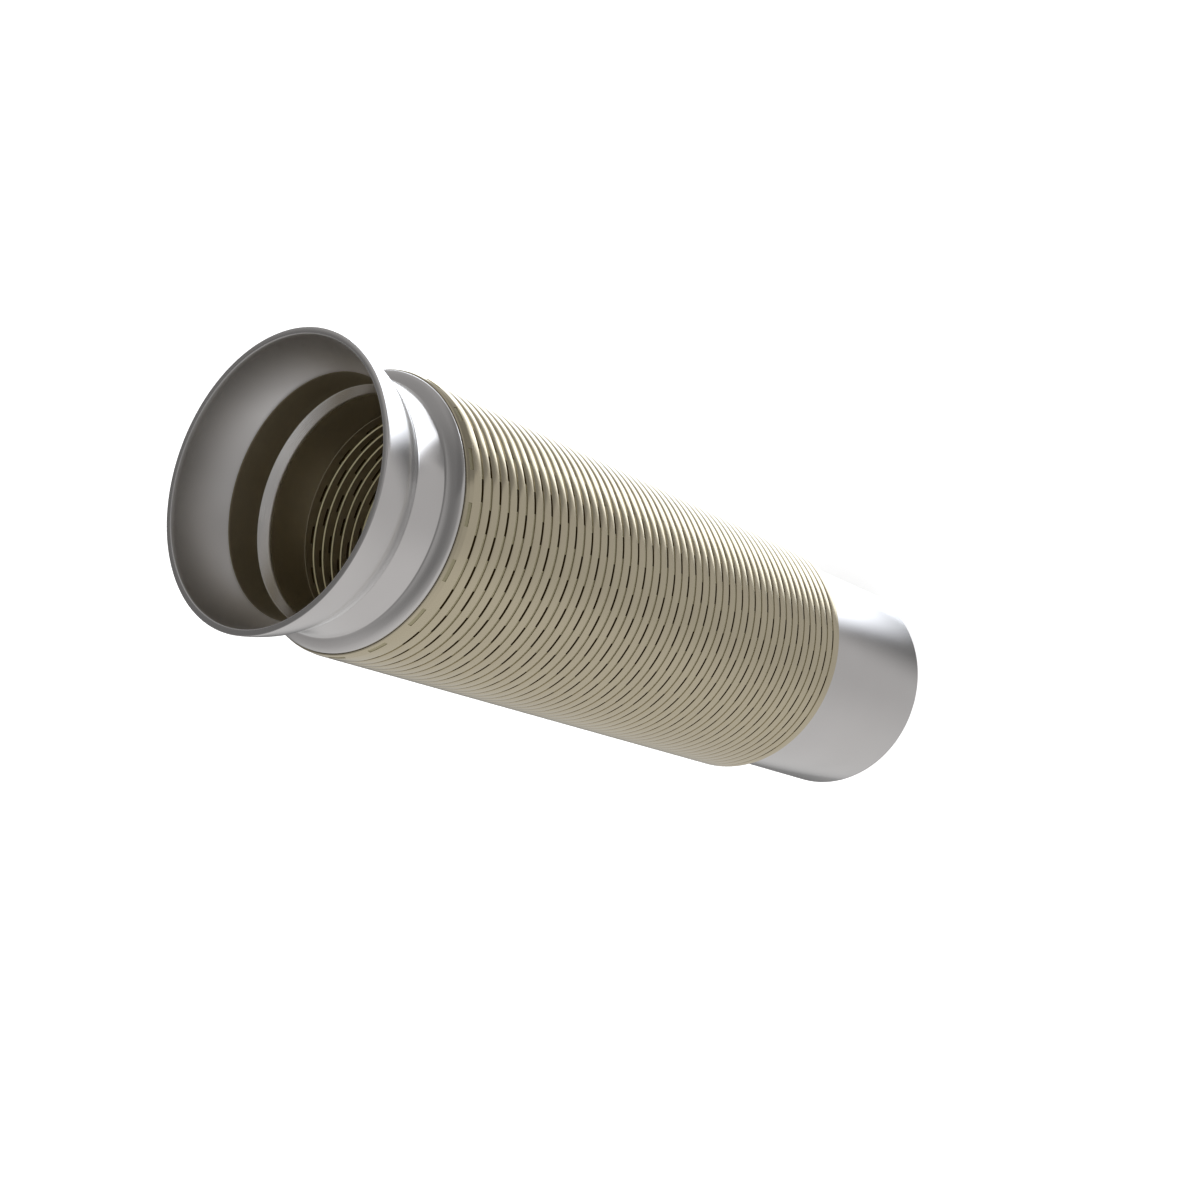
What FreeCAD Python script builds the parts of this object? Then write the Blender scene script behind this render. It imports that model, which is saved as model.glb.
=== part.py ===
import FreeCAD, Part
import os

import Sketcher

# Flexible exhaust pipe that stands on its outlet end, in millimetres.
# The axis is +Z. The origin is the middle of the outlet sleeve's end face, and the inlet is at the top.
# Two strip-wound hoses, one inside the other, join a ball-cup inlet fitting to a plain outlet sleeve.
# Every piece is round about the axis, so each section is drawn as (radius, height) and revolved.

# Driving dimensions: name, value, meaning.
SIZES = [
    ("bore_radius", 53.3, "gas way through the liner and the inner hose"),
    ("liner_wall", 2.0, "sheet of the inlet liner"),
    ("liner_length", 27.3, "inlet liner from its lip to its lower end"),
    ("lip_step", 3.1, "how far the liner's lip spreads to meet the neck"),
    ("lip_height", 6.2, "height over which the lip spreads"),
    ("lip_edge", 2.8, "upright edge of the lip, against the neck"),
    ("lip_seat", 1.75, "height of straight neck that the lip touches"),
    ("fitting_wall", 3.0, "sheet of the inlet fitting"),
    ("neck_length", 16.4, "straight neck under the ball cup"),
    ("ball_radius", 65.6, "round seat inside the cup, for the ball of the next pipe"),
    ("rim_drop", 7.3, "how far the cup's rim stops short of the ball's centre"),
    ("collar_step", 5.9, "how far the collar stands out from the neck"),
    ("collar_height", 5.95, "height over which the collar spreads"),
    ("collar_bevel", 0.9, "broken edge of the collar"),
    ("collar_stand", 0.3, "collar edge left bare above the outer hose"),
    ("fit_gap", 0.05, "room left round a piece that is pushed into another"),
    ("cuff_wall", 1.25, "outer hose's cuff round the collar or the end ring"),
    ("inlet_cuff", 9.25, "height of the outer hose's upper cuff"),
    ("outlet_cuff", 12.4, "height of the outer hose's lower cuff"),
    ("strip_height", 3.2, "radial height of the outer hose's interlocked strip"),
    ("groove_pitch", 11.748, "from one groove of the outer hose to the next, two turns of its strip"),
    ("groove_count", 24, "grooves of the outer hose"),
    ("groove_depth", 0.6, "depth of a groove"),
    ("inner_strip_height", 3.3, "radial height of the inner hose's interlocked strip"),
    ("sleeve_gap", 0.4, "radial room for the inner hose in the sleeve"),
    ("sleeve_wall", 3.0, "wall of the outlet sleeve"),
    ("sleeve_length", 100.0, "outlet sleeve, all of it below the outer hose"),
    ("sleeve_overlap", 12.0, "length of inner hose held in the sleeve"),
    ("ring_thickness", 3.0, "end ring on the sleeve, inside the outer hose's cuff"),
]

PARTS_FOLDER = "parts"

# Radii, each worked out from its neighbour's.
BORE = "sizes.bore_radius"
LINER = f"({BORE} + sizes.liner_wall)"
NECK_BORE = f"({BORE} + sizes.lip_step)"
LIP = f"({NECK_BORE} - sizes.fit_gap)"
NECK = f"({NECK_BORE} + sizes.fitting_wall)"
BALL_OUTSIDE = "(sizes.ball_radius + sizes.fitting_wall)"
RIM = f"sqrt({BALL_OUTSIDE} ^ 2 - sizes.rim_drop ^ 2)"
RIM_BORE = "sqrt(sizes.ball_radius ^ 2 - sizes.rim_drop ^ 2)"
COLLAR = f"({NECK} + sizes.collar_step)"
COLLAR_FACE = f"({COLLAR} - sizes.collar_bevel)"
CUFF_BORE = f"({COLLAR} + sizes.fit_gap)"
HOSE = f"({CUFF_BORE} + sizes.cuff_wall)"
HOSE_BORE = f"({HOSE} - sizes.strip_height)"
GROOVE_ROOT = f"({HOSE} - sizes.groove_depth)"
GROOVE_MOUTH = f"({HOSE} + sizes.groove_depth)"
INNER_HOSE = f"({BORE} + sizes.inner_strip_height)"
SLEEVE_BORE = f"({INNER_HOSE} + sizes.sleeve_gap)"
SLEEVE = f"({SLEEVE_BORE} + sizes.sleeve_wall)"

# Heights above the outlet end, from the bottom up.
HOSE_BOTTOM = "sizes.sleeve_length"
RING_TOP = f"({HOSE_BOTTOM} + sizes.ring_thickness)"
OUTLET_SEAT = f"({RING_TOP} + sizes.fit_gap)"
INNER_HOSE_BOTTOM = f"({HOSE_BOTTOM} - sizes.sleeve_overlap)"
GROOVES_BOTTOM = f"({HOSE_BOTTOM} + sizes.outlet_cuff)"
FIRST_GROOVE = f"({GROOVES_BOTTOM} + sizes.groove_pitch / 2)"
GROOVES_TOP = f"({GROOVES_BOTTOM} + sizes.groove_count * sizes.groove_pitch)"
HOSE_TOP = f"({GROOVES_TOP} + sizes.inlet_cuff)"
COLLAR_EDGE = f"({HOSE_TOP} + sizes.collar_stand)"
COLLAR_FACE_EDGE = f"({COLLAR_EDGE} + sizes.collar_bevel)"

# The collar is a cone, and its underside lies one sheet behind it.
COLLAR_SPREAD = "(sizes.collar_step - sizes.collar_bevel)"
COLLAR_SLANT = f"sqrt({COLLAR_SPREAD} ^ 2 + sizes.collar_height ^ 2)"
NECK_BOTTOM = f"({COLLAR_FACE_EDGE} + sizes.collar_height)"
NECK_BORE_BOTTOM = (
    f"({NECK_BOTTOM} - sizes.fitting_wall * ({COLLAR_SLANT} - sizes.collar_height) / {COLLAR_SPREAD})"
)
COLLAR_UNDERSIDE = (
    f"({NECK_BOTTOM} - (sizes.fitting_wall * {COLLAR_SLANT} + sizes.collar_step * sizes.collar_height)"
    f" / {COLLAR_SPREAD})"
)
INLET_SEAT = f"({COLLAR_UNDERSIDE} - sizes.fit_gap)"

# The cup is part of a ball whose centre lies on the axis, above the rim.
NECK_TOP = f"({NECK_BOTTOM} + sizes.neck_length)"
BALL_CENTRE = f"({NECK_TOP} + sqrt({BALL_OUTSIDE} ^ 2 - {NECK} ^ 2))"
NECK_BORE_TOP = f"({BALL_CENTRE} - sqrt(sizes.ball_radius ^ 2 - {NECK_BORE} ^ 2))"
RIM_TOP = f"({BALL_CENTRE} - sizes.rim_drop)"

# The liner's lip spreads to the neck's inside and ends there in an upright edge.
LIP_TOP = f"({NECK_BORE_BOTTOM} + sizes.lip_seat)"
LIP_START = f"({LIP_TOP} - sizes.lip_height)"
LIP_FOOT = f"({LIP_TOP} - sizes.lip_edge)"
LINER_BOTTOM = f"({LIP_TOP} - sizes.liner_length)"


def add_sheet(doc):
    """Write the driving dimensions into a sheet, one row each, with the name as alias."""
    sheet = doc.addObject("Spreadsheet::Sheet", "sizes")
    for row, (name, value, meaning) in enumerate(SIZES, start=1):
        sheet.set(f"A{row}", meaning)
        sheet.set(f"B{row}", str(value))
        sheet.setAlias(f"B{row}", name)
    doc.recompute()


def origin_feature(body, role):
    """Find one of a body's own origin planes or axes."""
    return next(item for item in body.Origin.OriginFeatures if item.Role == role)


def add_body(doc, label):
    """Start an empty body that takes its node's name."""
    body = doc.addObject("PartDesign::Body", label)
    body.Label = label
    body.Placement = FreeCAD.Placement()
    return body


def tie(sketch, kind, name, geometry, rule):
    """Add a dimension to a sketch and bind it to a rule in the sheet's names."""
    value = float(sketch.evalExpression(rule))
    index = sketch.addConstraint(Sketcher.Constraint(kind, *geometry, value))
    sketch.renameConstraint(index, name)
    sketch.setExpression(f"Constraints.{name}", rule)


def arc_between(start, end, radius, centre_on_left):
    """The short arc between two points, always drawn counterclockwise."""
    chord = end - start
    side = 1 if centre_on_left else -1
    across = FreeCAD.Vector(-chord.y, chord.x, 0).normalize() * side
    centre = (start + end) / 2 + across * (radius ** 2 - (chord.Length / 2) ** 2) ** 0.5
    circle = Part.Circle(centre, FreeCAD.Vector(0, 0, 1), radius)
    first, last = (start, end) if centre_on_left else (end, start)
    return Part.ArcOfCircle(circle, circle.parameter(first), circle.parameter(last))


def draw_section(body, name, corners, arcs=None):
    """Draw a closed section through named corners, each (radius, height), in order.

    arcs maps the corner where an arc starts to (its radius, whether its centre is on the left).
    """
    arcs = arcs or {}
    sketch = body.newObject("Sketcher::SketchObject", name)
    sketch.AttachmentSupport = [(origin_feature(body, "XZ_Plane"), "")]
    sketch.MapMode = "FlatFace"
    points = {
        corner: FreeCAD.Vector(*(float(sketch.evalExpression(rule)) for rule in place), 0)
        for corner, place in corners.items()
    }
    order = list(corners)
    following = dict(zip(order, order[1:] + order[:1]))
    edges = {}
    for corner in order:
        start = points[corner]
        end = points[following[corner]]
        if corner in arcs:
            rule, centre_on_left = arcs[corner]
            radius = float(sketch.evalExpression(rule))
            edge = sketch.addGeometry(arc_between(start, end, radius, centre_on_left))
            edges[corner] = (edge, 1, 2) if centre_on_left else (edge, 2, 1)
        else:
            edges[corner] = (sketch.addGeometry(Part.LineSegment(start, end)), 1, 2)
    for corner in order:
        edge, start, end = edges[corner]
        next_edge, next_start, _ = edges[following[corner]]
        sketch.addConstraint(Sketcher.Constraint("Coincident", edge, end, next_edge, next_start))
    for corner, (radius_rule, height_rule) in corners.items():
        edge, start, _ = edges[corner]
        tie(sketch, "DistanceX", f"{corner}_radius", (-1, 1, edge, start), radius_rule)
        if height_rule == "0":
            sketch.addConstraint(Sketcher.Constraint("PointOnObject", edge, start, -1))
        else:
            tie(sketch, "DistanceY", f"{corner}_height", (-1, 1, edge, start), height_rule)
        if corner in arcs:
            tie(sketch, "Radius", f"{corner}_arc", (edge,), arcs[corner][0])
    return sketch


def tube_corners(bore, outside, bottom, top):
    """Corners of a plain tube's section."""
    return {
        "bottom_inside": (bore, bottom),
        "bottom_outside": (outside, bottom),
        "top_outside": (outside, top),
        "top_inside": (bore, top),
    }


def add_turned(body, kind, name, sketch):
    """Turn a section a full circle about the pipe's axis, to add or to cut material."""
    feature = body.newObject(kind, name)
    feature.Profile = sketch
    feature.ReferenceAxis = (sketch, ["V_Axis"])
    feature.Angle = 360.0
    sketch.Visibility = False
    return feature


def make_revolved(doc, label, corners, arcs=None):
    """A sub-part that is one revolved section."""
    body = add_body(doc, label)
    sketch = draw_section(body, f"{label}_section", corners, arcs)
    add_turned(body, "PartDesign::Revolution", f"{label}_turned", sketch)
    return body


def make_inlet_flare(doc):
    """Ball cup, neck and collar, pressed from one sheet."""
    corners = {
        "rim_inside": (RIM_BORE, RIM_TOP),
        "rim_outside": (RIM, RIM_TOP),
        "neck_top": (NECK, NECK_TOP),
        "neck_bottom": (NECK, NECK_BOTTOM),
        "collar_face": (COLLAR_FACE, COLLAR_FACE_EDGE),
        "collar_edge": (COLLAR, COLLAR_EDGE),
        "collar_foot": (COLLAR, COLLAR_UNDERSIDE),
        "neck_bore_bottom": (NECK_BORE, NECK_BORE_BOTTOM),
        "neck_bore_top": (NECK_BORE, NECK_BORE_TOP),
    }
    arcs = {"rim_outside": (BALL_OUTSIDE, False), "neck_bore_top": ("sizes.ball_radius", True)}
    return make_revolved(doc, "inlet_flare", corners, arcs)


def make_inlet_liner(doc):
    """Smooth sleeve inside the mouth, with a spread lip that meets the neck's inside."""
    corners = {
        "bottom_inside": (BORE, LINER_BOTTOM),
        "bottom_outside": (LINER, LINER_BOTTOM),
        "lip_back": (LINER, LIP_START),
        "lip_foot": (LIP, LIP_FOOT),
        "lip_top": (LIP, LIP_TOP),
        "lip_start": (BORE, LIP_START),
    }
    return make_revolved(doc, "inlet_liner", corners)


def make_inner_hose(doc):
    """Inner strip-wound hose, from the liner's end down through the end ring into the outlet sleeve."""
    return make_revolved(
        doc, "inner_hose", tube_corners(BORE, INNER_HOSE, INNER_HOSE_BOTTOM, LINER_BOTTOM)
    )


def make_outer_hose(doc):
    """Outer strip-wound hose, grooved between its turns, with a plain cuff at each end.

    The groove's cutter reaches as far outside the hose as it goes in, so the grooves meet in ridges.
    """
    body = add_body(doc, "outer_hose")
    tube = draw_section(body, "outer_hose_section", {
        "bottom_outside": (HOSE, HOSE_BOTTOM),
        "top_outside": (HOSE, HOSE_TOP),
        "inlet_cuff_inside": (CUFF_BORE, HOSE_TOP),
        "inlet_cuff_floor": (CUFF_BORE, INLET_SEAT),
        "bore_top": (HOSE_BORE, INLET_SEAT),
        "bore_bottom": (HOSE_BORE, OUTLET_SEAT),
        "outlet_cuff_floor": (CUFF_BORE, OUTLET_SEAT),
        "outlet_cuff_inside": (CUFF_BORE, HOSE_BOTTOM),
    })
    add_turned(body, "PartDesign::Revolution", "outer_hose_tube", tube)
    groove = draw_section(body, "groove_section", {
        "root": (GROOVE_ROOT, FIRST_GROOVE),
        "lower_mouth": (GROOVE_MOUTH, f"({FIRST_GROOVE} - sizes.groove_pitch)"),
        "upper_mouth": (GROOVE_MOUTH, f"({FIRST_GROOVE} + sizes.groove_pitch)"),
    })
    cut = add_turned(body, "PartDesign::Groove", "groove", groove)
    grooves = body.newObject("PartDesign::LinearPattern", "grooves")
    grooves.Originals = [cut]
    grooves.Direction = (origin_feature(body, "Z_Axis"), [""])
    grooves.Mode = "Spacing"
    grooves.setExpression("Offset", "sizes.groove_pitch")
    grooves.setExpression("Occurrences", "sizes.groove_count")
    body.Tip = grooves
    return body


def make_outlet_ring(doc):
    """Flat ring on the sleeve's end that closes the space out to the outer hose."""
    return make_revolved(
        doc, "outlet_ring", tube_corners(SLEEVE_BORE, COLLAR, HOSE_BOTTOM, RING_TOP)
    )


def make_outlet_sleeve(doc):
    """Plain tube that the next pipe or a clamp goes on."""
    return make_revolved(
        doc, "outlet_sleeve", tube_corners(SLEEVE_BORE, SLEEVE, "0", HOSE_BOTTOM)
    )


def check(doc, bodies):
    """Stop if any object failed or any sub-part isn't one valid solid."""
    for item in doc.Objects:
        if "Invalid" in item.State or "Error" in item.State:
            raise RuntimeError(f"{item.Label} failed: {item.State}")
    for body in bodies:
        shape = body.Shape
        if shape.isNull() or not shape.isValid() or len(shape.Solids) != 1:
            raise RuntimeError(f"{body.Label} is not one valid solid")


def main():
    """Build the document, check it and write one file for each sub-part."""
    doc = FreeCAD.newDocument("exhaust_pipe")
    add_sheet(doc)
    bodies = [
        make_inlet_flare(doc),
        make_inlet_liner(doc),
        make_inner_hose(doc),
        make_outer_hose(doc),
        make_outlet_ring(doc),
        make_outlet_sleeve(doc),
    ]
    doc.recompute()
    check(doc, bodies)
    os.makedirs(PARTS_FOLDER, exist_ok=True)
    for body in bodies:
        body.Shape.exportStep(os.path.join(PARTS_FOLDER, f"{body.Label}.step"))
        print(body.Label, round(body.Shape.Volume, 1), "mm3")


main()
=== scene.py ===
"""Looks of a flexible exhaust pipe: two strip-wound hoses between a ball-cup inlet and an outlet sleeve."""

import logging
import math
from dataclasses import dataclass
from enum import Enum, IntEnum

import bmesh
import bpy
from mathutils import Matrix, Vector


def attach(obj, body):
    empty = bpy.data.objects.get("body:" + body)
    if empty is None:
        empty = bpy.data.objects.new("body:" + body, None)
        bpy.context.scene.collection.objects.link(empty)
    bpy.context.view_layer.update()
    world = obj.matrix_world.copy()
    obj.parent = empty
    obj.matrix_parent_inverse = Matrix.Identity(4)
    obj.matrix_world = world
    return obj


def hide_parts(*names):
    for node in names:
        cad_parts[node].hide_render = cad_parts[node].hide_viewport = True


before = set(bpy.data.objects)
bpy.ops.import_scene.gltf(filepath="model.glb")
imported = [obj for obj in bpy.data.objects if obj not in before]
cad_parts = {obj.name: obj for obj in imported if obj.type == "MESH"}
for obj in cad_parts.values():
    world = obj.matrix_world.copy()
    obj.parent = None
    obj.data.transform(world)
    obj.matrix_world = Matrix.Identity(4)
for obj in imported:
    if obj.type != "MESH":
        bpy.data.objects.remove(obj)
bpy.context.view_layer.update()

LOG = logging.getLogger("exhaust_pipe")

MM = 0.001
FULL_TURN = math.tau
ORIGIN = (0.0, 0.0, 0.0)
AXIS = (0.0, 0.0, 1.0)
SECTION_AXIS = (0.0, 1.0, 0.0)
HOSE_COLUMNS = 198
FINE_COLUMNS = 192
SHARP_ANGLE = math.radians(28)
WELD = 0.004 * MM
WHITE = (1.0, 1.0, 1.0, 1.0)
NO_ROW = (0.0, 0.0)


class Wall(Enum):
    """The side of a hose's wall that shows its laps."""

    OUTSIDE = -1
    BORE = 1


class SocketKind(Enum):
    """A kind of node group socket."""

    VALUE = "NodeSocketFloat"
    VECTOR = "NodeSocketVector"


class FlareZone(IntEnum):
    """Material slots of the flare."""

    OUTSIDE = 0
    CUP = 1
    BORE = 2


class LinerZone(IntEnum):
    """Material slots of the liner."""

    LIP = 0
    BORE = 1


class HoseZone(IntEnum):
    """Material slots of a hose."""

    BAND = 0
    FLOOR = 1
    WINDOW = 2
    TRIM = 3


@dataclass(frozen=True)
class Fade:
    """A smooth change from start to end while a value goes from low to high."""

    low: float
    high: float
    start: float = 0.0
    end: float = 1.0


@dataclass(frozen=True)
class Bend:
    """A bulging arc of an outline.

    facing is where its surface faces at the start, in degrees up from straight outward. The radius is in
    millimetres, degrees is how far the arc turns down and steps its number of edges.
    """

    facing: float
    radius: float
    degrees: float
    steps: int


def spot(radius: float, height: float) -> Vector:
    """Place a point given in millimetres in the X-Z plane, in metres.

    Args:
        radius: Distance from the pipe's axis.
        height: Height above the outlet end.

    Returns:
        The point.
    """
    return Vector((radius * MM, 0.0, height * MM))


class Section:
    """An outline beside the axis, drawn point by point and then turned about the axis."""

    def __init__(self, radius: float, height: float) -> None:
        """Start the outline at a point.

        Args:
            radius: The point's distance from the axis, in millimetres.
            height: The point's height, in millimetres.
        """
        self.mesh = bmesh.new()
        self.first = bmesh.ops.create_vert(self.mesh, co=spot(radius, height))["vert"][0]
        self.last = self.first

    def line(self, radius: float, height: float) -> "Section":
        """Draw a straight line on to a point.

        Args:
            radius: The point's distance from the axis, in millimetres.
            height: The point's height, in millimetres.

        Returns:
            The section itself.
        """
        self.last = bmesh.ops.extrude_vert_indiv(self.mesh, verts=[self.last])["verts"][0]
        self.last.co = spot(radius, height)
        return self

    def arc(self, radius: float, height: float, degrees: float, steps: int) -> "Section":
        """Draw an arc about a centre, clockwise in the X-Z plane where degrees is positive.

        Args:
            radius: The centre's distance from the axis.
            height: The centre's height.
            degrees: How far the arc turns.
            steps: Its number of edges.

        Returns:
            The section itself.
        """
        turned = bmesh.ops.spin(
            self.mesh,
            geom=[self.last],
            cent=spot(radius, height),
            axis=SECTION_AXIS,
            angle=math.radians(degrees),
            steps=steps,
        )
        self.last = turned["geom_last"][0]
        return self

    def bend(self, bend: Bend) -> "Section":
        """Draw a bulging arc on from the last point.

        Args:
            bend: The arc.

        Returns:
            The section itself.
        """
        angle = math.radians(bend.facing)
        across = self.last.co.x / MM - bend.radius * math.cos(angle)
        height = self.last.co.z / MM - bend.radius * math.sin(angle)
        return self.arc(across, height, bend.degrees, bend.steps)

    def close(self) -> "Section":
        """Join the last point to the first and return the section itself."""
        self.mesh.edges.new((self.last, self.first))
        return self

    def rounded(self, radius: float, corners: list[tuple[float, float]], segments: int = 3) -> "Section":
        """Round corners of a closed outline.

        Args:
            radius: How far the rounding reaches along each side, in millimetres.
            corners: The corners, each as (radius, height).
            segments: Edges in each rounding.

        Returns:
            The section itself.
        """
        places = [spot(*corner) for corner in corners]
        verts = [v for v in self.mesh.verts if any((v.co - p).length < WELD for p in places)]
        bmesh.ops.contextual_create(self.mesh, geom=self.mesh.edges[:])
        bmesh.ops.bevel(
            self.mesh,
            geom=verts,
            offset=radius * MM,
            offset_type="OFFSET",
            segments=segments,
            profile=0.5,
            affect="VERTICES",
            material=-1,
        )
        bmesh.ops.delete(self.mesh, geom=self.mesh.faces[:], context="FACES_ONLY")
        return self

    def turn(self, columns: int) -> bmesh.types.BMesh:
        """Turn the outline a full circle about the axis.

        Args:
            columns: Steps round the axis.

        Returns:
            The mesh.
        """
        bmesh.ops.spin(
            self.mesh,
            geom=self.mesh.verts[:] + self.mesh.edges[:],
            cent=ORIGIN,
            axis=AXIS,
            angle=FULL_TURN,
            steps=columns,
            use_merge=True,
        )
        return self.mesh

    def solid(self) -> bmesh.types.BMesh:
        """Turn a closed outline into a solid.

        Returns:
            The mesh, with its normals outward.
        """
        mesh = self.turn(FINE_COLUMNS)
        bmesh.ops.recalc_face_normals(mesh, faces=mesh.faces[:])
        return mesh


def finish_mesh(mesh: bmesh.types.BMesh, name: str, materials: list[bpy.types.Material]) -> bpy.types.Object:
    """Turn a bmesh into an object with smooth faces and sharp creases.

    Args:
        mesh: The finished mesh, which is freed.
        name: The piece's name.
        materials: The piece's materials in slot order.

    Returns:
        The piece, at the origin.
    """
    for face in mesh.faces:
        face.smooth = True
    for edge in mesh.edges:
        edge.smooth = len(edge.link_faces) == 2 and edge.calc_face_angle(0.0) < SHARP_ANGLE
    data = bpy.data.meshes.new(name)
    mesh.to_mesh(data)
    mesh.free()
    for material in materials:
        data.materials.append(material)
    piece = bpy.data.objects.new(name, data)
    bpy.context.scene.collection.objects.link(piece)
    return piece


def place_piece(piece: bpy.types.Object, node: str) -> bpy.types.Object:
    """Let a piece stand for its CAD node and report it.

    Args:
        piece: The finished piece.
        node: The CAD node that it replaces.

    Returns:
        The piece.
    """
    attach(piece, "root")
    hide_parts(node)
    triangles = sum(len(face.vertices) - 2 for face in piece.data.polygons)
    LOG.info("%s stands for %s, %d triangles", piece.name, node, triangles)
    return piece


class Graph:
    """A node tree with short calls for adding and joining nodes."""

    def __init__(self, tree: bpy.types.NodeTree) -> None:
        """Work on a node tree."""
        self.tree = tree

    def add(self, kind: str, settings: dict | None = None, **inputs: object) -> bpy.types.Node:
        """Add a node.

        Args:
            kind: The node's type.
            settings: Its properties.
            inputs: Sockets by name with spaces as underscores, or by number as i0, i1 and so on.

        Returns:
            The node.
        """
        node = self.tree.nodes.new(kind)
        for key, value in (settings or {}).items():
            setattr(node, key, value)
        for key, value in inputs.items():
            numbered = key[0] == "i" and key[1:].isdigit()
            socket = node.inputs[int(key[1:])] if numbered else node.inputs[key.replace("_", " ")]
            if isinstance(value, bpy.types.NodeSocket):
                self.tree.links.new(value, socket)
            else:
                socket.default_value = value
        return node

    def math(self, operation: str, first: object, second: object = 0.0) -> bpy.types.NodeSocket:
        """Add a Math node and return its output."""
        return self.add("ShaderNodeMath", {"operation": operation}, i0=first, i1=second).outputs[0]

    def product(self, *factors: object) -> bpy.types.NodeSocket:
        """Multiply values.

        Args:
            factors: Two or more sockets or numbers.

        Returns:
            Their product.
        """
        result = factors[0]
        for factor in factors[1:]:
            result = self.math("MULTIPLY", result, factor)
        return result

    def fade(self, value: object, fade: Fade) -> bpy.types.NodeSocket:
        """Blend smoothly along a value.

        Args:
            value: The value to follow.
            fade: Where the blend begins and ends, and what it goes from and to.

        Returns:
            The blended value.
        """
        node = self.add("ShaderNodeMapRange", {"interpolation_type": "SMOOTHSTEP"}, i0=value)
        for index, number in enumerate((fade.low, fade.high, fade.start, fade.end), start=1):
            node.inputs[index].default_value = number
        return node.outputs[0]

    def dot(self, vector: bpy.types.NodeSocket, along: Vector) -> bpy.types.NodeSocket:
        """Measure a vector along a fixed direction."""
        node = self.add("ShaderNodeVectorMath", {"operation": "DOT_PRODUCT"}, i0=vector, i1=tuple(along))
        return node.outputs["Value"]


@dataclass(frozen=True)
class CameraRig:
    """The photograph's camera, worked out from the pipe's round edges."""

    place: tuple[float, float, float] = (0.0, -0.6410, 0.9693)
    right: tuple[float, float, float] = (0.343926, -0.710705, -0.613688)
    up: tuple[float, float, float] = (0.938997, 0.260415, 0.224653)
    back: tuple[float, float, float] = (0.000152, -0.653515, 0.756914)
    sensor: float = 36.0
    view_angle: float = 35.0
    nearest: float = 0.01
    farthest: float = 60.0

    def blend(self, right: float, up: float, back: float) -> Vector:
        """Mix the camera's axes.

        Args:
            right: Share of the axis to the right.
            up: Share of the axis upward.
            back: Share of the axis from the pipe to the camera.

        Returns:
            The mixed direction.
        """
        return Vector(self.right) * right + Vector(self.up) * up + Vector(self.back) * back

    def build(self) -> bpy.types.Object:
        """Make the camera and set it as the scene's.

        Returns:
            The camera.
        """
        data = bpy.data.cameras.new("photo_camera")
        data.sensor_width = self.sensor
        data.angle = math.radians(self.view_angle)
        data.clip_start = self.nearest
        data.clip_end = self.farthest
        camera = bpy.data.objects.new("photo_camera", data)
        turn = Matrix((self.right, self.up, self.back)).transposed().to_4x4()
        camera.matrix_world = Matrix.Translation(self.place) @ turn
        bpy.context.scene.collection.objects.link(camera)
        bpy.context.scene.camera = camera
        return camera


@dataclass(frozen=True)
class Gaze:
    """What the direction that is looked in measures along the camera's axes and three others."""

    right: bpy.types.NodeSocket
    up: bpy.types.NodeSocket
    back: bpy.types.NodeSocket
    crown: bpy.types.NodeSocket
    edge: bpy.types.NodeSocket
    low: bpy.types.NodeSocket


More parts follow.
